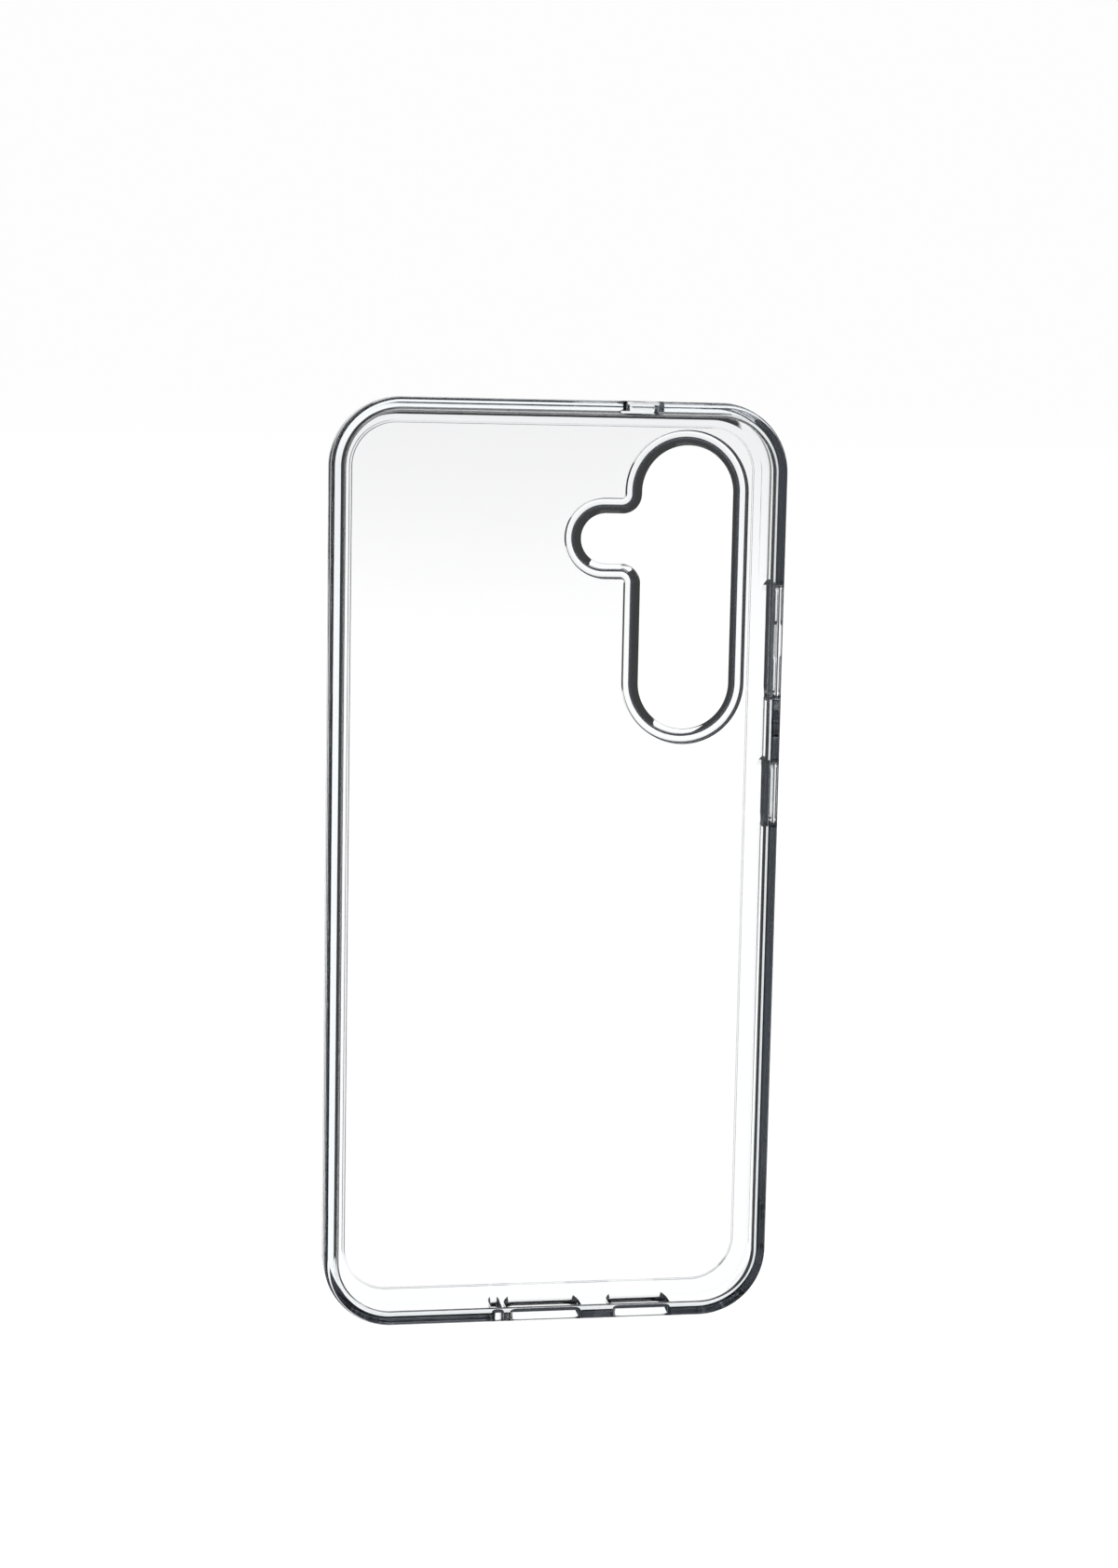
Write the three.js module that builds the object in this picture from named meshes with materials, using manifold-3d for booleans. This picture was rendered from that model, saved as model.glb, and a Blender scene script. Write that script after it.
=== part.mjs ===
// Clear phone case: a hard back panel held in a soft bumper frame, with a raised camera guard
// and sprung key covers set in thin flexible webs.
// Millimetres. The case lies on its back: X across, Y along it with the camera end at +Y,
// Z up out of the open side. The origin is under the centre, level with the guard's rest face.

import * as THREE from 'three';
import { mergeVertices } from 'three/addons/utils/BufferGeometryUtils.js';
import Module from 'manifold-3d';

// The phone that the case is moulded to
const PHONE_WIDTH = 75.2;
const PHONE_LENGTH = 157.7;
const PHONE_THICKNESS = 7.7;
const PHONE_CORNER = 10.1;
const FIT_GAP = 0.15;
const LIP_GAP = 0.1;

// Frame section
const WALL = 1.75;
const LIP_OVERHANG = 0.85;
const LIP_HEIGHT = 1.2;
const WIDEST_DROP = 3.0;
const RIM_ROUND = 1.4;
const RIM_FULLNESS = 3.5;
const RIM_INNER_RADIUS = 0.6;
const SIDE_DRAW = 3.9;
const SIDE_FULLNESS = 3.7;
const FLOOR_FILLET = 2.4;
const LAND = 0.2;
const LAP = 0.4;
const BOND = 0.05;

// Back panel
const PANEL_THICKNESS = 1.2;
const PANEL_FLANGE = 0.6;

// Camera opening: a tall pill with a side lobe. Its margins run from the phone's edges to its own.
const CAMERA_SIDE_MARGIN = 5.79;
const CAMERA_TOP_MARGIN = 5.55;
const CAMERA_WIDTH = 16.25;
const CAMERA_HEIGHT = 49.6;
const LOBE_RADIUS = 4.35;
const LOBE_REACH = 14.43;
const NECK_RADIUS = 3.4;
const NECK_DROP = 0.45;

// Guard section
const GUARD_WIDTH = 2.7;
const GUARD_PROUD = 1.3;
const FUNNEL_WIDTH = 1.5;
const THROAT = 0.45;
const GUARD_EDGE_RADIUS = 0.55;
const GUARD_EASE = 0.2;

// Wall openings
const RIM_STRIP = 1.9;
const PORT_RISE = 0.6;
const SLOT_RISE = 0.7;
const PORT_WIDTH = 13.6;
const PORT_RADIUS = 2.0;
const MIC_WIDTH = 2.0;
const MIC_RADIUS = 0.9;
const MIC_POST = 0.65;
const SPEAKER_WIDTH = 11.1;
const SPEAKER_RADIUS = 1.8;
const SPEAKER_PILLAR = 5.0;
const TOP_MIC_WIDTH = 7.2;
const TOP_MIC_RADIUS = 1.6;
const TOP_MIC_FROM_CENTRE = 14.1;

// Keys in the right wall, placed from the phone's top edge
const KEY_WINDOW_HEIGHT = 6.2;
const KEY_WINDOW_RADIUS = 2.2;
const VOLUME_FROM_TOP = 39.1;
const VOLUME_PITCH = 12.2;
const VOLUME_PAD_LENGTH = 6.8;
const POWER_FROM_TOP = 65.85;
const POWER_PAD_LENGTH = 10.0;
const KEY_END_MARGIN = 1.1;
const PAD_HEIGHT = 3.2;
const PAD_RADIUS = 1.3;
const VOLUME_PAD_DEPTH = 1.3;
const POWER_PAD_DEPTH = 1.2;
const PAD_CROWN = 0.2;
const PAD_GAP = 0.12;
const WEB_RECESS = 0.35;
const WEB_THICKNESS = 0.6;

// Facets in each quarter turn
const CORNER_STEPS = 10;
const CAMERA_STEPS = 8;
const ROUND_STEPS = 4;
const SIDE_STEPS = 8;
// three.js gives an arc twice this many facets
const SHAPE_SEGMENTS = 2;

// Worked out from the sizes above
const phoneSide = PHONE_WIDTH / 2;
const phoneEnd = PHONE_LENGTH / 2;
const halfWidth = phoneSide + FIT_GAP + WALL;
const halfLength = phoneEnd + FIT_GAP + WALL;
const cornerRadius = PHONE_CORNER + FIT_GAP + WALL;
const backFace = GUARD_PROUD;
const seat = backFace + PANEL_THICKNESS;
const lipUnderside = seat + PHONE_THICKNESS + LIP_GAP;
const top = lipUnderside + LIP_HEIGHT;
const lipEdge = WALL + LIP_OVERHANG;
const widestLevel = top - WIDEST_DROP;
const seamInner = WALL + FLOOR_FILLET + LAND;
const flangeSeam = seamInner - LAP;
const flangeTop = backFace + PANEL_FLANGE;
const windowTop = top - RIM_STRIP;
const keyLevel = seat + PHONE_THICKNESS / 2;

const camera = {
  x: phoneSide - CAMERA_SIDE_MARGIN - CAMERA_WIDTH / 2,
  y: phoneEnd - CAMERA_TOP_MARGIN - CAMERA_HEIGHT / 2,
};

const clear = { roughness: 0.08, metalness: 0, transparent: true };
const materials = {
  hard: new THREE.MeshStandardMaterial({ ...clear, color: 0xf4f7f8, opacity: 0.35 }),
  soft: new THREE.MeshStandardMaterial({ ...clear, color: 0xdfe5e8, opacity: 0.5, roughness: 0.15 }),
  key: new THREE.MeshStandardMaterial({ ...clear, color: 0xc9d1d6, opacity: 0.6, roughness: 0.2 }),
};

const wasm = await Module();
wasm.setup();

// A closed geometry as a manifold solid
function solid(geometry) {
  const bare = geometry.clone();
  bare.deleteAttribute('normal');
  bare.deleteAttribute('uv');
  const merged = mergeVertices(bare, 1e-4);
  const mesh = new wasm.Mesh({
    numProp: 3,
    vertProperties: new Float32Array(merged.attributes.position.array),
    triVerts: new Uint32Array(merged.index.array),
  });
  return new wasm.Manifold(mesh);
}

// A manifold solid as a geometry
function geometryOf(manifold) {
  const mesh = manifold.getMesh();
  const geometry = new THREE.BufferGeometry();
  geometry.setAttribute('position', new THREE.BufferAttribute(new Float32Array(mesh.vertProperties), 3));
  geometry.setIndex(new THREE.BufferAttribute(new Uint32Array(mesh.triVerts), 1));
  geometry.computeVertexNormals();
  return geometry;
}

// Points along a circular arc, both ends included; angles in radians
function arc(cx, cy, radius, from, to, steps) {
  const points = [];
  for (let i = 0; i <= steps; i += 1) {
    const angle = from + (to - from) * (i / steps);
    points.push([cx + radius * Math.cos(angle), cy + radius * Math.sin(angle)]);
  }
  return points;
}

// A quarter of a superellipse, as [distance out from the side, height], about the side's widest level.
// Fullness 2 is an ellipse, and more is squarer.
function bulge(width, height, fullness, from, to) {
  const power = 2 / fullness;
  return arc(0, 0, 1, from, to, SIDE_STEPS).map(([x, z]) => [
    width * (Math.abs(x) ** power - 1),
    widestLevel + height * Math.sign(z) * Math.abs(z) ** power,
  ]);
}

// Stations of a closed path made of tangent arcs. Each has a point and its outward normal.
// turn is +1 where the path bends round the material's inside and -1 where it bends away.
function stations(arcs) {
  const list = [];
  for (const { x, y, radius, from, to, turn = 1, steps } of arcs) {
    for (let i = 0; i <= steps; i += 1) {
      const angle = from + (to - from) * (i / steps);
      const nx = Math.cos(angle) * turn;
      const ny = Math.sin(angle) * turn;
      list.push({ x: x + radius * turn * nx, y: y + radius * turn * ny, nx, ny });
    }
  }
  return list;
}

// The case's outline, anticlockwise from the right wall
function caseOutline() {
  const cx = halfWidth - cornerRadius;
  const cy = halfLength - cornerRadius;
  const quarter = Math.PI / 2;
  const corners = [[cx, cy], [-cx, cy], [-cx, -cy], [cx, -cy]];
  return stations(corners.map(([x, y], i) => ({
    x, y, radius: cornerRadius, from: i * quarter, to: (i + 1) * quarter, steps: CORNER_STEPS,
  })));
}

// The camera opening's outline, anticlockwise from the right of the pill's top arc
function cameraOutline() {
  const end = CAMERA_WIDTH / 2;
  const straight = CAMERA_HEIGHT / 2 - end;
  const { x, y } = camera;
  const neckOffset = LOBE_RADIUS + NECK_RADIUS;
  const neckX = x - end - NECK_RADIUS;
  const lobeX = x - LOBE_REACH;
  const lobeY = y + straight - NECK_DROP - neckOffset;
  const steps = CAMERA_STEPS;
  const half = Math.PI;
  const quarter = Math.PI / 2;
  return stations([
    { x, y: y + straight, radius: end, from: 0, to: half, steps: 2 * steps },
    { x: neckX, y: lobeY + neckOffset, radius: NECK_RADIUS, from: 0, to: -quarter, turn: -1, steps },
    { x: lobeX, y: lobeY, radius: LOBE_RADIUS, from: quarter, to: 3 * quarter, steps: 2 * steps },
    { x: neckX, y: lobeY - neckOffset, radius: NECK_RADIUS, from: quarter, to: 0, turn: -1, steps },
    { x, y: y - straight, radius: end, from: half, to: 2 * half, steps: 2 * steps },
  ]);
}

// A closed ring: a section of [distance along the normal, height] carried round a path
function sweep(path, section) {
  const positions = [];
  const faces = [];
  const count = section.length;
  for (const { x, y, nx, ny } of path) {
    for (const [out, z] of section) positions.push(x + nx * out, y + ny * out, z);
  }
  for (let i = 0; i < path.length; i += 1) {
    const next = (i + 1) % path.length;
    for (let j = 0; j < count; j += 1) {
      const a = i * count + j;
      const b = next * count + j;
      const c = next * count + ((j + 1) % count);
      const d = i * count + ((j + 1) % count);
      faces.push(a, b, c, a, c, d);
    }
  }
  const geometry = new THREE.BufferGeometry();
  geometry.setAttribute('position', new THREE.Float32BufferAttribute(positions, 3));
  geometry.setIndex(faces);
  geometry.computeVertexNormals();
  return geometry;
}

// A path moved along its normals, as a flat shape
function shapeOf(path, out) {
  return new THREE.Shape(path.map(({ x, y, nx, ny }) => new THREE.Vector2(x + nx * out, y + ny * out)));
}

function plate(shape, low, high) {
  const geometry = new THREE.ExtrudeGeometry(shape, { depth: high - low, bevelEnabled: false });
  return geometry.translate(0, 0, low);
}

function roundedRectangle(width, height, radius) {
  const cx = width / 2 - radius;
  const cy = height / 2 - radius;
  const quarter = Math.PI / 2;
  const shape = new THREE.Shape();
  [[cx, cy], [-cx, cy], [-cx, -cy], [cx, -cy]].forEach(([x, y], i) => {
    shape.absarc(x, y, radius, i * quarter, (i + 1) * quarter, false);
  });
  return shape;
}

// A solid through a wall. It is drawn with its width along X, its height along Z and its depth
// along Y, centred on the wall, and turned about Z to face the wall asked for.
function wallCutter(width, low, high, radius, along, wall) {
  const depth = 2 * seamInner;
  const geometry = new THREE.ExtrudeGeometry(
    roundedRectangle(width, high - low, radius),
    { depth, bevelEnabled: false, curveSegments: SHAPE_SEGMENTS },
  );
  geometry.translate(0, 0, -depth / 2);
  geometry.rotateX(Math.PI / 2);
  geometry.translate(0, 0, (high + low) / 2);
  if (wall === 'right') return geometry.rotateZ(Math.PI / 2).translate(halfWidth, along, 0);
  return geometry.translate(along, wall === 'top' ? halfLength : -halfLength, 0);
}

// Keys, each a place along the right wall
const volumeMiddle = phoneEnd - VOLUME_FROM_TOP;
const powerMiddle = phoneEnd - POWER_FROM_TOP;
const keyBottom = keyLevel - KEY_WINDOW_HEIGHT / 2;
const keyTop = keyLevel + KEY_WINDOW_HEIGHT / 2;
const windows = {
  volume: { middle: volumeMiddle, length: VOLUME_PITCH + VOLUME_PAD_LENGTH + 2 * KEY_END_MARGIN },
  power: { middle: powerMiddle, length: POWER_PAD_LENGTH + 2 * KEY_END_MARGIN + 2 * PAD_GAP },
};
const pads = {
  volume_up_key: {
    y: volumeMiddle + VOLUME_PITCH / 2, length: VOLUME_PAD_LENGTH, depth: VOLUME_PAD_DEPTH, web: 'volume',
  },
  volume_down_key: {
    y: volumeMiddle - VOLUME_PITCH / 2, length: VOLUME_PAD_LENGTH, depth: VOLUME_PAD_DEPTH, web: 'volume',
  },
  power_key: { y: powerMiddle, length: POWER_PAD_LENGTH, depth: POWER_PAD_DEPTH, web: 'power' },
};

// Soft frame: one section carried round the outline, then opened for the ports and keys.
// Its side bulges gently, widest a little below the rim.
function bumperFrame() {
  const quarter = Math.PI / 2;
  const section = [
    [-seamInner, seat],
    [-seamInner, flangeTop + BOND],
    [-flangeSeam, flangeTop + BOND],
    [-flangeSeam, backFace],
    ...bulge(SIDE_DRAW, widestLevel - backFace, SIDE_FULLNESS, -quarter, 0),
    ...bulge(RIM_ROUND, WIDEST_DROP, RIM_FULLNESS, 0, quarter).slice(1),
    ...arc(-lipEdge + RIM_INNER_RADIUS, top - RIM_INNER_RADIUS, RIM_INNER_RADIUS, quarter, 2 * quarter, 3),
    [-lipEdge, lipUnderside],
    [-WALL, lipUnderside],
    ...arc(-WALL - FLOOR_FILLET, seat + FLOOR_FILLET, FLOOR_FILLET, 0, -quarter, ROUND_STEPS),
  ];
  const portFloor = seat + PORT_RISE;
  const slotFloor = seat + SLOT_RISE;
  const micPlace = -(PORT_WIDTH + MIC_WIDTH) / 2 - MIC_POST;
  const speakerPlace = (PORT_WIDTH + SPEAKER_WIDTH) / 2 + SPEAKER_PILLAR;
  const cutters = [
    wallCutter(PORT_WIDTH, portFloor, windowTop, PORT_RADIUS, 0, 'bottom'),
    wallCutter(MIC_WIDTH, slotFloor, windowTop, MIC_RADIUS, micPlace, 'bottom'),
    wallCutter(SPEAKER_WIDTH, slotFloor, windowTop, SPEAKER_RADIUS, speakerPlace, 'bottom'),
    wallCutter(TOP_MIC_WIDTH, slotFloor, windowTop, TOP_MIC_RADIUS, TOP_MIC_FROM_CENTRE, 'top'),
  ];
  for (const { middle, length } of Object.values(windows)) {
    cutters.push(wallCutter(length, keyBottom, keyTop, KEY_WINDOW_RADIUS, middle, 'right'));
  }
  let frame = solid(sweep(caseOutline(), section));
  for (const cutter of cutters) frame = frame.subtract(solid(cutter));
  return geometryOf(frame);
}

// Hard panel: a plate that fills the frame, with an outer flange lapped under the frame's ledge
function backPanel() {
  const outline = caseOutline();
  const hole = shapeOf(cameraOutline(), GUARD_WIDTH + BOND);
  const plateShape = shapeOf(outline, -seamInner - BOND);
  const flangeShape = shapeOf(outline, -flangeSeam - BOND);
  plateShape.holes.push(hole);
  flangeShape.holes.push(hole);
  const inner = solid(plate(plateShape, backFace, seat));
  const flange = solid(plate(flangeShape, backFace, flangeTop));
  return geometryOf(inner.add(flange));
}

// Guard: a ring through the panel that stands proud of the back and keeps the lenses off a table.
// Below a short throat its opening flares like a funnel, so that it stays out of the lenses' view.
function cameraGuard() {
  const quarter = Math.PI / 2;
  return sweep(cameraOutline(), [
    [0, seat - THROAT],
    [FUNNEL_WIDTH, 0],
    ...arc(GUARD_WIDTH - GUARD_EDGE_RADIUS, GUARD_EDGE_RADIUS, GUARD_EDGE_RADIUS, -quarter, 0, 3),
    [GUARD_WIDTH, seat],
    [GUARD_EASE, seat],
    [0, seat - GUARD_EASE],
  ]);
}

// Web: a thin skin across a key window, with a hole for each key cover
function keyWeb(name) {
  const { middle, length } = windows[name];
  const shape = roundedRectangle(length - 2 * BOND, KEY_WINDOW_HEIGHT - 2 * BOND, KEY_WINDOW_RADIUS - BOND);
  for (const pad of Object.values(pads)) {
    if (pad.web !== name) continue;
    const hole = roundedRectangle(pad.length + 2 * PAD_GAP, PAD_HEIGHT + 2 * PAD_GAP, PAD_RADIUS + PAD_GAP);
    const points = hole.getPoints(SHAPE_SEGMENTS).map((p) => new THREE.Vector2(p.x + pad.y - middle, p.y));
    shape.holes.push(new THREE.Path(points));
  }
  const geometry = new THREE.ExtrudeGeometry(shape, {
    depth: WEB_THICKNESS, bevelEnabled: false, curveSegments: SHAPE_SEGMENTS,
  });
  return faceRightWall(geometry, halfWidth - WEB_RECESS - WEB_THICKNESS, middle);
}

// Key cover: a pad with its outer edge eased, flush with the frame's side
function keyPad({ y, length, depth }) {
  const shape = roundedRectangle(length - 2 * PAD_CROWN, PAD_HEIGHT - 2 * PAD_CROWN, PAD_RADIUS - PAD_CROWN);
  const geometry = new THREE.ExtrudeGeometry(shape, {
    depth: depth - 2 * PAD_CROWN,
    bevelThickness: PAD_CROWN,
    bevelSize: PAD_CROWN,
    bevelSegments: 2,
    curveSegments: SHAPE_SEGMENTS,
  });
  return faceRightWall(geometry, halfWidth - depth + PAD_CROWN, y);
}

// Turns a shape drawn along and up a wall, thickness along Z, to stand in the right wall
function faceRightWall(geometry, x, y) {
  geometry.rotateX(Math.PI / 2);
  geometry.rotateZ(Math.PI / 2);
  return geometry.translate(x, y, keyLevel);
}

const phoneCase = new THREE.Group();

function add(name, geometry, material) {
  const mesh = new THREE.Mesh(geometry, material);
  mesh.name = name;
  phoneCase.add(mesh);
}

add('back_panel', backPanel(), materials.hard);
add('bumper_frame', bumperFrame(), materials.soft);
add('camera_guard', cameraGuard(), materials.soft);
add('volume_key_web', keyWeb('volume'), materials.soft);
add('power_key_web', keyWeb('power'), materials.soft);
for (const [name, pad] of Object.entries(pads)) add(name, keyPad(pad), materials.key);

export default phoneCase;
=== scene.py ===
import math

import bmesh
import bpy
import numpy as np
from mathutils import Matrix, Vector


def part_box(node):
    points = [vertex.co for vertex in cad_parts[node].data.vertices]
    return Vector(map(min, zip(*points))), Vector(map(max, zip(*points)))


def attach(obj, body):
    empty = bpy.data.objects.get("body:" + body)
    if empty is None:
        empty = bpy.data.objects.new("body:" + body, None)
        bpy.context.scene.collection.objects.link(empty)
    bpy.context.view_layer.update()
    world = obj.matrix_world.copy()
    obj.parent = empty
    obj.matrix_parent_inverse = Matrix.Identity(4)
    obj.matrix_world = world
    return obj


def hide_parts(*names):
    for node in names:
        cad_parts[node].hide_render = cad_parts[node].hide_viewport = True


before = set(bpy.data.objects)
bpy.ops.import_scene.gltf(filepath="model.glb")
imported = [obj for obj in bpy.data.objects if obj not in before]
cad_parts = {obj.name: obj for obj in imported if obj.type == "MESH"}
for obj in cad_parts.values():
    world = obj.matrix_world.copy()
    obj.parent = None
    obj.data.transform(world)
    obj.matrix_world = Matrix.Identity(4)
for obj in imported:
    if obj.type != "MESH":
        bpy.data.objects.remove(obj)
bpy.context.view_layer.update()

MM = 0.001
QUARTER = math.pi / 2


# ---------------------------------------------------------------- sizes, in metres
def corners(node):
    """A CAD node's lowest and highest corners."""
    low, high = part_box(node)
    return Vector(low), Vector(high)


frame_low, frame_high = corners("bumper_frame")
panel_high = corners("back_panel")[1]
guard_low, guard_high = corners("camera_guard")

HALF_WIDTH = frame_high.x
HALF_LENGTH = frame_high.y
TOP = frame_high.z
BACK = frame_low.z
SEAT = panel_high.z

# Frame section, as the CAD frame has it
CORNER_RADIUS = 12.0 * MM
WALL = 1.75 * MM
LIP_EDGE = 2.6 * MM
LIP_HEIGHT = 1.2 * MM
WIDEST_LEVEL = 8.5 * MM
RIM_ROUND = 1.4 * MM
RIM_FULLNESS = 3.5
RIM_INNER_RADIUS = 0.6 * MM
SIDE_DRAW = 3.9 * MM
SIDE_FULLNESS = 3.7
FLOOR_FILLET = 2.4 * MM
SEAM_INNER = 4.35 * MM
LAP = 0.4 * MM
FLANGE = 0.6 * MM
BOND = 0.05 * MM
EDGE = 0.08 * MM

# Draft: how far a face leans outward for its height
SEAM_LEAN = 0.08
PAD_LEAN = 0.12
WEB_LEAN = 0.06

# Wall openings
RIM_STRIP = 1.9 * MM
PORT_RISE = 0.6 * MM
SLOT_RISE = 0.7 * MM
PORT_WIDTH = 13.6 * MM
PORT_RADIUS = 2.0 * MM
MIC_WIDTH = 2.0 * MM
MIC_RADIUS = 0.9 * MM
MIC_POST = 0.65 * MM
SPEAKER_WIDTH = 11.1 * MM
SPEAKER_RADIUS = 1.8 * MM
SPEAKER_PILLAR = 5.0 * MM
TOP_MIC_WIDTH = 7.2 * MM
TOP_MIC_RADIUS = 1.6 * MM
TOP_MIC_PLACE = 14.1 * MM
KEY_WINDOW_RADIUS = 2.2 * MM
FLARE = 0.2 * MM

# Guard section
GUARD_WIDTH = 2.7 * MM
FUNNEL_WIDTH = 1.5 * MM
THROAT = 0.45 * MM
THROAT_DRAFT = 0.04 * MM
GUARD_EDGE_RADIUS = 0.55 * MM
GUARD_EASE = 0.2 * MM
NECK_RADIUS = 3.4 * MM
LOBE_RADIUS = 4.35 * MM
CAMERA_WIDTH = 16.25 * MM
NECK_DROP = 0.45 * MM

# Key covers and webs
PAD_RADIUS = 1.3 * MM
PAD_EASE = 0.25 * MM
PAD_DOME = 0.05 * MM
PAD_FLAT = 0.1 * MM
PAD_GAP = 0.12 * MM
DOME_STEPS = (0.35, 0.65, 0.9, 1.0)
WEB_COVE = 0.3 * MM
COVE_TURNS = (0.5, 1.0, QUARTER)

# Steps in a quarter turn
CORNER_STEPS = 40
CAMERA_STEPS = 32
SECTION_STEPS = 16
BULGE_STEPS = 32
SMALL_STEPS = 6
WINDOW_STEPS = 10

# Shading
SHARP_ANGLE = math.radians(32)
SMOOTH_TURN = math.radians(20)
FACE_WEIGHT = 80
LONG_RUN = 0.35 * MM
ON_SURFACE = 0.004 * MM
MOST_TILT = 0.06


# ---------------------------------------------------------------- paths and sections
def arc(x, y, radius, start, end, steps):
    """Points on an arc, both ends included."""
    angles = np.linspace(start, end, steps + 1)
    return [(x + radius * math.cos(a), y + radius * math.sin(a)) for a in angles]


def bulge(x, width, height, fullness, start, end):
    """A quarter of a superellipse about the widest level, in even steps of the tangent's turn.

    A fullness of 2 is an ellipse.
    """
    turns = np.linspace(start, end, BULGE_STEPS + 1)
    power = 1 / (fullness - 1)
    across = [max(math.cos(a), 0) ** power for a in turns]
    rise = [math.copysign(abs(math.sin(a)) ** power, a) for a in turns]
    points = []
    for u, v in zip(across, rise):
        size = (u ** fullness + abs(v) ** fullness) ** (1 / fullness)
        points.append((x + width * u / size, WIDEST_LEVEL + height * v / size))
    return points


def stations(arcs):
    """A closed path of tangent arcs as (x, y, normal x, normal y).

    An arc's turn is -1 where it bends the other way.
    """
    path = []
    for x, y, radius, start, end, turn, steps in arcs:
        for a in np.linspace(start, end, steps + 1):
            nx, ny = turn * math.cos(a), turn * math.sin(a)
            path.append((x + radius * turn * nx, y + radius * turn * ny, nx, ny))
    return path


def rounded_path(half_x, half_y, radius, steps, centre=(0.0, 0.0)):
    """A rounded rectangle, anticlockwise from its right side."""
    cx, cy = half_x - radius, half_y - radius
    places = [(cx, cy), (-cx, cy), (-cx, -cy), (cx, -cy)]
    return stations([
        (x + centre[0], y + centre[1], radius, i * QUARTER, (i + 1) * QUARTER, 1, steps)
        for i, (x, y) in enumerate(places)
    ])


def camera_path():
    """The camera opening: a tall pill with a lobe on its left."""
    end = CAMERA_WIDTH / 2
    x = guard_high.x - GUARD_WIDTH - end
    upper = guard_high.y - GUARD_WIDTH - end
    lower = guard_low.y + GUARD_WIDTH + end
    offset = LOBE_RADIUS + NECK_RADIUS
    neck = x - end - NECK_RADIUS
    lobe_x = guard_low.x + GUARD_WIDTH + LOBE_RADIUS
    lobe_y = upper - NECK_DROP - offset
    n = CAMERA_STEPS
    return stations([
        (x, upper, end, 0, 2 * QUARTER, 1, 2 * n),
        (neck, lobe_y + offset, NECK_RADIUS, 0, -QUARTER, -1, n),
        (lobe_x, lobe_y, LOBE_RADIUS, QUARTER, 3 * QUARTER, 1, 2 * n),
        (neck, lobe_y - offset, NECK_RADIUS, QUARTER, 0, -1, n),
        (x, lower, end, 2 * QUARTER, 4 * QUARTER, 1, 2 * n),
    ])


# ---------------------------------------------------------------- mesh building
class Skin:
    """Collects rings of vertices and joins them into one closed mesh."""

    def __init__(self):
        self.mesh = bmesh.new()

    def ring(self, path, out, height, place=lambda x, y, z: (x, y, z)):
        points = [place(x + nx * out, y + ny * out, height) for x, y, nx, ny in path]
        return [self.mesh.verts.new(p) for p in points]

    def join(self, first, second):
        count = len(first)
        for i in range(count):
            j = (i + 1) % count
            self.mesh.faces.new((first[i], first[j], second[j], second[i]))

    def wrap(self, rings, closed):
        pairs = list(zip(rings, rings[1:]))
        if closed:
            pairs.append((rings[-1], rings[0]))
        for first, second in pairs:
            self.join(first, second)

    def fill(self, *rings):
        """A flat face bounded by the first ring, with the others as holes in it."""
        edges = []
        for ring in rings:
            for i, vert in enumerate(ring):
                ends = (vert, ring[(i + 1) % len(ring)])
                edges.append(self.mesh.edges.get(ends) or self.mesh.edges.new(ends))
        bmesh.ops.triangle_fill(self.mesh, edges=edges, use_beauty=True)

    def object(self, name):
        bmesh.ops.recalc_face_normals(self.mesh, faces=self.mesh.faces)
        data = bpy.data.meshes.new(name)
        self.mesh.to_mesh(data)
        self.mesh.free()
        made = bpy.data.objects.new(name, data)
        bpy.context.scene.collection.objects.link(made)
        return made


def apply_modifiers(piece):
    """Keeps what the piece's modifiers make, and drops them."""
    graph = bpy.context.evaluated_depsgraph_get()
    made = bpy.data.meshes.new_from_object(piece.evaluated_get(graph))
    old = piece.data
    piece.modifiers.clear()
    piece.data = made
    made.name = old.name
    bpy.data.meshes.remove(old)


def shade(piece):
    """Smooth faces with edges kept where the surface turns sharply, and flat faces left flat."""
    piece.data.shade_smooth()
    piece.data.set_sharp_from_angle(angle=SHARP_ANGLE)
    weighted = piece.modifiers.new("weighted", "WEIGHTED_NORMAL")
    weighted.keep_sharp = True
    weighted.weight = FACE_WEIGHT
    apply_modifiers(piece)


# ---------------------------------------------------------------- bumper frame
def seam_wall(inset, low, high):
    """The top and foot of one wall of the seam between panel and frame."""
    shift = SEAM_LEAN * (high - low) / 2
    return [(-inset - shift, high), (-inset + shift, low)]


def frame_section():
    """The frame's outline across its wall, as (distance outward from the side, height)."""
    ledge = BACK + FLANGE + BOND
    lip_end = -LIP_EDGE + RIM_INNER_RADIUS
    return [
        *seam_wall(SEAM_INNER, ledge, SEAT),
        *seam_wall(SEAM_INNER - LAP, BACK, ledge),
        *bulge(-SIDE_DRAW, SIDE_DRAW, WIDEST_LEVEL - BACK, SIDE_FULLNESS, -QUARTER, 0),
        *bulge(-RIM_ROUND, RIM_ROUND, TOP - WIDEST_LEVEL, RIM_FULLNESS, 0, QUARTER)[1:],
        *arc(lip_end, TOP - RIM_INNER_RADIUS, RIM_INNER_RADIUS, QUARTER, 2 * QUARTER, SECTION_STEPS),
        (-LIP_EDGE, TOP - LIP_HEIGHT),
        (-WALL, TOP - LIP_HEIGHT),
        *arc(-WALL - FLOOR_FILLET, SEAT + FLOOR_FILLET, FLOOR_FILLET, 0, -QUARTER, SECTION_STEPS),
    ]


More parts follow.
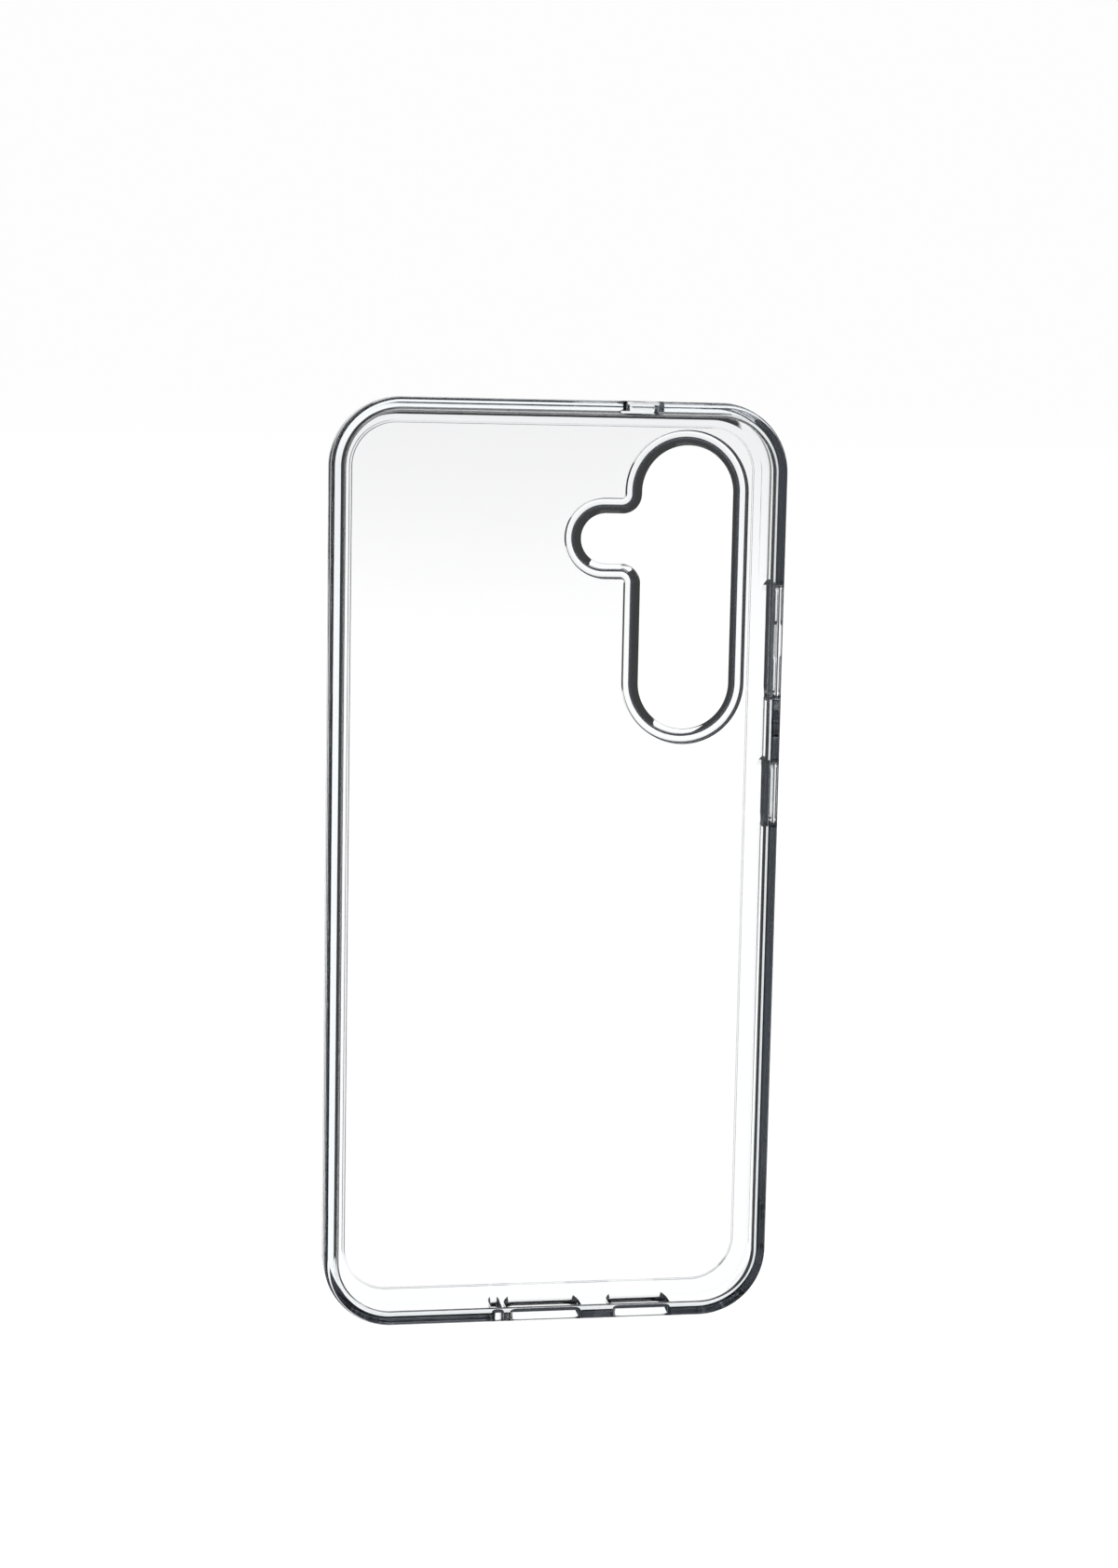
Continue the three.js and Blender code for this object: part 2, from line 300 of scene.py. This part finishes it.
def window_cutter(width, low, high, radius, along, wall):
    """A solid through one wall, with its sides flared where it meets the wall's outer face."""
    skin = Skin()
    middle = (low + high) / 2
    path = rounded_path(width / 2, (high - low) / 2, radius, WINDOW_STEPS)
    turns = {"top": 0, "right": -QUARTER, "bottom": 2 * QUARTER}
    reach = HALF_WIDTH if wall == "right" else HALF_LENGTH
    turn = Matrix.Rotation(turns[wall], 3, "Z")
    shift = Vector((0, along, 0)) if wall == "right" else Vector((along, 0, 0))
    mirror = -1 if wall == "bottom" else 1

    def place(x, y, out):
        return turn @ Vector((x * mirror, reach + out, middle + y)) + shift

    outs = [(FLARE, 2 * FLARE)]
    for a in np.linspace(0, QUARTER, SMALL_STEPS):
        outs.append((FLARE * (1 - math.sin(a)), -FLARE * (1 - math.cos(a))))
    outs.append((0, -SEAM_INNER))
    rings = [skin.ring(path, spread, out, place) for spread, out in outs]
    skin.wrap(rings, closed=False)
    skin.fill(rings[0])
    skin.fill(rings[-1])
    return skin.object("cutter")


def unit(vectors):
    return vectors / np.linalg.norm(vectors, axis=1)[:, None]


def section_normals(section):
    """Each run's vector, its flat normal, and the smooth normals at its start and end."""
    run = np.roll(section, -1, axis=0) - section
    length = np.linalg.norm(run, axis=1)
    flat = np.stack([run[:, 1], -run[:, 0]], axis=1) / length[:, None]
    before = np.roll(flat, 1, axis=0)
    smooth = (flat * before).sum(1) > math.cos(SMOOTH_TURN)
    start = np.where(smooth[:, None], unit(before + flat), flat)
    # a straight run longer than an arc's facets keeps its own normal at both ends
    long = length > LONG_RUN
    after_long = np.roll(long, 1)
    start = np.where((smooth & long)[:, None], flat, start)
    start = np.where((smooth & after_long & ~long)[:, None], before, start)
    smooth_end = np.roll(smooth, -1)
    end = np.where(smooth_end[:, None], np.roll(start, -1, axis=0), flat)
    return run, flat, start, end


def outward_of(where):
    """The outline's outward direction nearest to each point, and how far outside the outline it is."""
    sign = np.sign(where)
    core = np.abs(where) - np.array([HALF_WIDTH, HALF_LENGTH]) + CORNER_RADIUS
    rounded = (core > 0).all(1)
    reach = np.linalg.norm(core, axis=1)
    side = (core[:, 1] > core[:, 0]).astype(int)
    straight = np.zeros(core.shape)
    straight[np.arange(len(core)), side] = 1
    outward = np.where(rounded[:, None], core / reach[:, None], straight) * sign
    return outward, np.where(rounded, reach, core.max(1)) - CORNER_RADIUS


def frame_normals(piece):
    """Sets the exact normals of the swept surface, so that the window cuts leave no mark on it."""
    data = piece.data
    section = np.array(frame_section())
    run, flat, start, end = section_normals(section)

    loops = len(data.loops)
    vertex = np.empty(loops, int)
    data.loops.foreach_get("vertex_index", vertex)
    where = np.empty(len(data.vertices) * 3)
    data.vertices.foreach_get("co", where)
    where = where.reshape(-1, 3)[vertex]
    made = np.empty(loops * 3)
    data.corner_normals.foreach_get("vector", made)
    made = made.reshape(-1, 3)
    face = np.zeros((loops, 3))
    for polygon in data.polygons:
        face[polygon.loop_indices] = polygon.normal

    outward, out = outward_of(where[:, :2])
    point = np.stack([out, where[:, 2]], axis=1)
    flat_face = np.stack([(face[:, :2] * outward).sum(1), face[:, 2]], axis=1)
    best = np.full(loops, np.inf)
    for k, corner in enumerate(section):
        t = ((point - corner) @ run[k] / (run[k] @ run[k])).clip(0, 1)
        gap = np.linalg.norm(point - corner - t[:, None] * run[k], axis=1)
        normal = unit(start[k] * (1 - t[:, None]) + end[k] * t[:, None])
        tilt = 1 - (flat_face @ flat[k])
        use = (gap < ON_SURFACE) & (tilt < MOST_TILT) & (gap + tilt < best)
        best[use] = (gap + tilt)[use]
        made[use, :2] = outward[use] * normal[use, :1]
        made[use, 2] = normal[use, 1]
    data.normals_split_custom_set([tuple(n) for n in made])


def frame_cutters():
    """The solids that cut the frame's wall openings."""
    window_top = TOP - RIM_STRIP
    port_floor = SEAT + PORT_RISE
    slot_floor = SEAT + SLOT_RISE
    mic = -(PORT_WIDTH + MIC_WIDTH) / 2 - MIC_POST
    speaker = (PORT_WIDTH + SPEAKER_WIDTH) / 2 + SPEAKER_PILLAR
    cutters = [
        window_cutter(PORT_WIDTH, port_floor, window_top, PORT_RADIUS, 0, "bottom"),
        window_cutter(MIC_WIDTH, slot_floor, window_top, MIC_RADIUS, mic, "bottom"),
        window_cutter(SPEAKER_WIDTH, slot_floor, window_top, SPEAKER_RADIUS, speaker, "bottom"),
        window_cutter(TOP_MIC_WIDTH, slot_floor, window_top, TOP_MIC_RADIUS, TOP_MIC_PLACE, "top"),
    ]
    for web in ("volume_key_web", "power_key_web"):
        low, high = corners(web)
        width = high.y - low.y + 2 * BOND
        middle = (low.y + high.y) / 2
        cutters.append(window_cutter(
            width, low.z - BOND, high.z + BOND, KEY_WINDOW_RADIUS, middle, "right"
        ))
    return cutters


def bumper_frame():
    """The soft frame: one section carried round the outline, with its wall openings cut."""
    skin = Skin()
    path = rounded_path(HALF_WIDTH, HALF_LENGTH, CORNER_RADIUS, CORNER_STEPS)
    skin.wrap([skin.ring(path, out, z) for out, z in frame_section()], closed=True)
    piece = skin.object("clear_frame")
    cutters = frame_cutters()
    for cutter in cutters:
        cut = piece.modifiers.new("cut", "BOOLEAN")
        cut.operation = "DIFFERENCE"
        cut.solver = "EXACT"
        cut.object = cutter
    apply_modifiers(piece)
    for cutter in cutters:
        bpy.data.objects.remove(cutter)
    shade(piece)
    frame_normals(piece)
    return piece


# ---------------------------------------------------------------- back panel
def back_panel():
    """The hard plate, with a flange that laps under the frame and a hole for the guard."""
    skin = Skin()
    outline = rounded_path(HALF_WIDTH, HALF_LENGTH, CORNER_RADIUS, CORNER_STEPS)
    opening = camera_path()
    hole = GUARD_WIDTH + BOND
    outer = [skin.ring(outline, out, z) for out, z in [
        *seam_wall(SEAM_INNER + BOND, BACK + FLANGE, SEAT),
        *seam_wall(SEAM_INNER - LAP + BOND, BACK, BACK + FLANGE),
    ]]
    inner = [skin.ring(opening, hole, z) for z in (SEAT, BACK)]
    skin.wrap(outer, closed=False)
    skin.wrap(inner, closed=False)
    skin.fill(outer[0], inner[0])
    skin.fill(outer[-1], inner[-1])
    piece = skin.object("clear_back")
    shade(piece)
    return piece


# ---------------------------------------------------------------- camera guard
def camera_guard():
    """A ring round the camera opening, whose hole widens below a short throat.

    Its section runs from the throat down the funnel, with both ends eased, and up the outer side.
    """
    skin = Skin()
    outer_edge = GUARD_WIDTH - GUARD_EDGE_RADIUS
    section = [
        (0, SEAT - THROAT + 2 * EDGE),
        (THROAT_DRAFT, SEAT - THROAT - EDGE),
        (FUNNEL_WIDTH - EDGE, 1.4 * EDGE),
        (FUNNEL_WIDTH, 0.4 * EDGE),
        (FUNNEL_WIDTH + 1.5 * EDGE, 0),
        *arc(outer_edge, GUARD_EDGE_RADIUS, GUARD_EDGE_RADIUS, -QUARTER, 0, SMALL_STEPS),
        (GUARD_WIDTH, SEAT),
        *arc(GUARD_EASE, SEAT - GUARD_EASE, GUARD_EASE, QUARTER, 2 * QUARTER, SMALL_STEPS),
    ]
    path = camera_path()
    skin.wrap([skin.ring(path, out, z) for out, z in section], closed=True)
    piece = skin.object("clear_guard")
    shade(piece)
    return piece


# ---------------------------------------------------------------- keys
def on_right_wall(along, level, lean):
    """Places a shape on the right wall: x runs back along it, y up it, and out away from it.

    The faces lean outward at the foot, as a moulding with draft does.
    """
    def place(x, y, out):
        return (out - lean * y, along - x, level + y)
    return place


def leaning_depth(low, high, lean):
    """The inner and outer depths that keep a leaning piece inside its node's box."""
    shift = lean * (high.z - low.z) / 2
    return low.x + shift, high.x - shift


def key_web(node, pads):
    """A skin across a key window, coved up to the wall round its rim, with a hole for each pad."""
    low, high = corners(node)
    middle, level = (low.y + high.y) / 2, (low.z + high.z) / 2
    inner, outer = leaning_depth(low, high, WEB_LEAN)
    place = on_right_wall(middle, level, WEB_LEAN)
    half_y, half_z = (high.y - low.y) / 2, (high.z - low.z) / 2
    edge = rounded_path(half_y, half_z, KEY_WINDOW_RADIUS - BOND, WINDOW_STEPS)
    skin = Skin()
    rim = [skin.ring(edge, out, x, place) for out, x in [
        (-EDGE, inner),
        (0, inner + EDGE),
        (0, outer),
        *[(-WEB_COVE * (1 - math.cos(a)), outer - EDGE * math.sin(a)) for a in COVE_TURNS],
    ]]
    skin.wrap(rim, closed=False)
    holes = []
    for pad in pads:
        pad_low, pad_high = corners(pad)
        centre = (middle - (pad_low.y + pad_high.y) / 2, 0)
        half_y = (pad_high.y - pad_low.y) / 2 + PAD_GAP
        half_z = (pad_high.z - pad_low.z) / 2 + PAD_GAP
        hole = rounded_path(half_y, half_z, PAD_RADIUS + PAD_GAP, WINDOW_STEPS, centre)
        rings = [skin.ring(hole, out, x, place) for out, x in [
            (EDGE, inner),
            (0, inner + EDGE),
            (0, outer - 2 * EDGE),
            (EDGE, outer - EDGE),
        ]]
        skin.wrap(rings, closed=False)
        holes.append(rings)
    skin.fill(rim[0], *[rings[0] for rings in holes])
    skin.fill(rim[-1], *[rings[-1] for rings in holes])
    piece = skin.object(node.replace("key_web", "skin"))
    shade(piece)
    return piece


def key_cover(node):
    """A key pad with an eased edge and a slightly domed face."""
    low, high = corners(node)
    inner, crown = leaning_depth(low, high, PAD_LEAN)
    place = on_right_wall((low.y + high.y) / 2, (low.z + high.z) / 2, PAD_LEAN)
    path = rounded_path((high.y - low.y) / 2, (high.z - low.z) / 2, PAD_RADIUS, WINDOW_STEPS)
    shoulder = crown - PAD_DOME
    section = [(-2 * EDGE, inner), (0, inner + 2 * EDGE)]
    for a in np.linspace(0, QUARTER, SMALL_STEPS + 1):
        section.append((PAD_EASE * (math.cos(a) - 1), shoulder - PAD_EASE * (1 - math.sin(a))))
    dome_reach = PAD_RADIUS - PAD_FLAT - PAD_EASE
    for step in DOME_STEPS:
        section.append((-PAD_EASE - dome_reach * step, shoulder + PAD_DOME * (1 - (1 - step) ** 2)))
    skin = Skin()
    rings = [skin.ring(path, out, x, place) for out, x in section]
    skin.wrap(rings, closed=False)
    skin.fill(rings[0])
    skin.fill(rings[-1])
    piece = skin.object(node.replace("_key", "_button"))
    shade(piece)
    return piece


# ---------------------------------------------------------------- materials
PLASTIC_IOR = 1.5
DEEPER_TINT = 0.985


def clear_plastic(name, colour, smoothness, absorption, bump, grain):
    """A clear moulded plastic, whose tint, gloss and surface waver with noise.

    smoothness is the roughness and how much it grows, and absorption is a density and a colour.
    """
    material = bpy.data.materials.new(name)
    material.use_nodes = True
    tree = material.node_tree
    shader = tree.nodes["Principled BSDF"]
    shader.inputs["Transmission Weight"].default_value = 1.0
    shader.inputs["IOR"].default_value = PLASTIC_IOR
    place = tree.nodes.new("ShaderNodeTexCoord")
    stretch = tree.nodes.new("ShaderNodeMapping")
    stretch.inputs["Scale"].default_value = grain
    tree.links.new(place.outputs["Object"], stretch.inputs["Vector"])
    waver = tree.nodes.new("ShaderNodeTexNoise")
    waver.inputs["Scale"].default_value = 1.0
    waver.inputs["Detail"].default_value = 3.0
    tree.links.new(stretch.outputs["Vector"], waver.inputs["Vector"])
    tint = tree.nodes.new("ShaderNodeMix")
    tint.data_type = "RGBA"
    tint.inputs["A"].default_value = (*colour, 1)
    tint.inputs["B"].default_value = (*[c * DEEPER_TINT for c in colour], 1)
    tree.links.new(waver.outputs["Fac"], tint.inputs["Factor"])
    tree.links.new(tint.outputs["Result"], shader.inputs["Base Color"])
    roughness, growth = smoothness
    gloss = tree.nodes.new("ShaderNodeMapRange")
    gloss.inputs["To Min"].default_value = roughness
    gloss.inputs["To Max"].default_value = roughness + growth
    tree.links.new(waver.outputs["Fac"], gloss.inputs["Value"])
    tree.links.new(gloss.outputs["Result"], shader.inputs["Roughness"])
    if bump:
        relief = tree.nodes.new("ShaderNodeBump")
        relief.inputs["Strength"].default_value = 1.0
        relief.inputs["Distance"].default_value = bump
        tree.links.new(waver.outputs["Fac"], relief.inputs["Height"])
        tree.links.new(relief.outputs["Normal"], shader.inputs["Normal"])
    if absorption:
        density, absorbed = absorption
        inside = tree.nodes.new("ShaderNodeVolumeAbsorption")
        inside.inputs["Color"].default_value = (*absorbed, 1)
        inside.inputs["Density"].default_value = density
        output = tree.nodes["Material Output"]
        tree.links.new(inside.outputs["Volume"], output.inputs["Volume"])
    return material


hard = clear_plastic(
    "hard_clear",
    colour=(0.975, 0.976, 0.984),
    smoothness=(0.0, 0.01),
    absorption=None,
    bump=0,
    grain=(30, 30, 30),
)
soft = clear_plastic(
    "soft_clear",
    colour=(0.97, 0.98, 0.985),
    smoothness=(0.0, 0.03),
    absorption=(25, (0.75, 0.82, 0.88)),
    bump=0.03 * MM,
    grain=(150, 110, 150),
)
grey = clear_plastic(
    "key_clear",
    colour=(0.94, 0.95, 0.96),
    smoothness=(0.02, 0.04),
    absorption=(60, (0.8, 0.82, 0.85)),
    bump=0,
    grain=(300, 200, 200),
)


# ---------------------------------------------------------------- pieces
def put(piece, node, body, material):
    """Gives a piece its material, and puts it in its CAD node's place."""
    piece.data.materials.clear()
    piece.data.materials.append(material)
    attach(piece, body)
    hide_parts(node)


put(back_panel(), "back_panel", "case", hard)
put(bumper_frame(), "bumper_frame", "case", soft)
put(camera_guard(), "camera_guard", "case", soft)
for web, pads in [
    ("volume_key_web", ["volume_up_key", "volume_down_key"]),
    ("power_key_web", ["power_key"]),
]:
    put(key_web(web, pads), web, "case", soft)
for body in ("volume_up", "volume_down", "power"):
    key = body + "_key"
    put(key_cover(key), key, body, grey)

# ---------------------------------------------------------------- camera
# It looks down from the case's left and from its camera end, along VIEW, at the point AIM.
LENS = 64.2
SENSOR = 36
AIM = Vector((1.06, 14.5, 7.0)) * MM
DISTANCE = 486.3 * MM
ROLL = math.radians(1.12)
VIEW = Vector((0.16873, -0.12791, -0.97733)).normalized()

right = Vector((0, 1, 0)).cross(-VIEW).normalized()
up = (-VIEW).cross(right)
turned = Matrix((right, up, -VIEW)).transposed() @ Matrix.Rotation(ROLL, 3, "Z")
camera_data = bpy.data.cameras.new("camera")
camera_data.lens = LENS
camera_data.sensor_width = SENSOR
camera_data.clip_start = 0.01
camera_data.clip_end = 100
camera = bpy.data.objects.new("camera", camera_data)
camera.matrix_world = Matrix.Translation(AIM - VIEW * DISTANCE) @ turned.to_4x4()
bpy.context.scene.collection.objects.link(camera)
bpy.context.scene.camera = camera

# ---------------------------------------------------------------- floor and light
# The floor is far below the case, and bright only in a pool behind it. Rays that the rim bends
# past the pool meet dark ground, and those make the rim's dark bands.
FLOOR_DEPTH = -1.5
FLOOR_SIZE = 20
POOL_CENTRE = 0.316
POOL_HALF = 0.464
POOL_EDGE = 0.04
POOL_TOP = 0.39
POOL_WIDENING = 0.35
FAR_GLOW = 0.05
PORT_END_GLOW = 1.13
CAMERA_END_GLOW = 0.985
GLOW_CHANGE = (-0.11, 0.1)
STUDIO_COLOUR = (0.06, 0.065, 0.075, 1)


def math_node(tree, operation, *values):
    """A Math node whose inputs are sockets or numbers."""
    node = tree.nodes.new("ShaderNodeMath")
    node.operation = operation
    for i, value in enumerate(values):
        if isinstance(value, (int, float)):
            node.inputs[i].default_value = value
        else:
            tree.links.new(value, node.inputs[i])
    return node.outputs[0]


def fade(tree, value, start, end, low, high):
    """A smooth change from low to high as value goes from start to end."""
    ramp = tree.nodes.new("ShaderNodeMapRange")
    ramp.interpolation_type = "SMOOTHSTEP"
    settings = {"From Min": start, "From Max": end, "To Min": low, "To Max": high}
    for socket, number in settings.items():
        ramp.inputs[socket].default_value = number
    tree.links.new(value, ramp.inputs["Value"])
    return ramp.outputs["Result"]


def floor_glow():
    """The floor's own light: a bright pool that widens towards the port end, on dark ground."""
    material = bpy.data.materials.new("floor")
    material.use_nodes = True
    tree = material.node_tree
    tree.nodes.clear()
    output = tree.nodes.new("ShaderNodeOutputMaterial")
    glow = tree.nodes.new("ShaderNodeEmission")
    place = tree.nodes.new("ShaderNodeTexCoord")
    split = tree.nodes.new("ShaderNodeSeparateXYZ")
    tree.links.new(place.outputs["Object"], split.inputs["Vector"])
    x, y = split.outputs["X"], split.outputs["Y"]
    across = math_node(tree, "ABSOLUTE", math_node(tree, "SUBTRACT", x, POOL_CENTRE))
    toward_port = math_node(tree, "MAXIMUM", math_node(tree, "MULTIPLY", y, -1.0), 0.0)
    widening = math_node(tree, "MULTIPLY", toward_port, POOL_WIDENING)
    past_side = math_node(tree, "SUBTRACT", across, widening)
    sides = fade(tree, past_side, POOL_HALF, POOL_HALF + POOL_EDGE, 1, 0)
    ends = fade(tree, y, POOL_TOP, POOL_TOP + POOL_EDGE, 1, 0)
    level = fade(tree, y, *GLOW_CHANGE, PORT_END_GLOW, CAMERA_END_GLOW)
    extra = math_node(tree, "SUBTRACT", level, FAR_GLOW)
    pool = math_node(tree, "MULTIPLY", math_node(tree, "MULTIPLY", sides, ends), extra)
    tree.links.new(math_node(tree, "ADD", pool, FAR_GLOW), glow.inputs["Strength"])
    tree.links.new(glow.outputs["Emission"], output.inputs["Surface"])
    return material


floor_mesh = bmesh.new()
bmesh.ops.create_grid(floor_mesh, x_segments=1, y_segments=1, size=FLOOR_SIZE)
floor_data = bpy.data.meshes.new("floor")
floor_mesh.to_mesh(floor_data)
floor_mesh.free()
floor = bpy.data.objects.new("floor", floor_data)
floor.location.z = FLOOR_DEPTH
floor_data.materials.append(floor_glow())
bpy.context.scene.collection.objects.link(floor)

world = bpy.data.worlds.new("studio")
world.use_nodes = True
world.node_tree.nodes["Background"].inputs["Color"].default_value = STUDIO_COLOUR
scene = bpy.context.scene
scene.world = world
scene.view_settings.view_transform = "Standard"
scene.cycles.max_bounces = 32
scene.cycles.glossy_bounces = 24
scene.cycles.transmission_bounces = 32
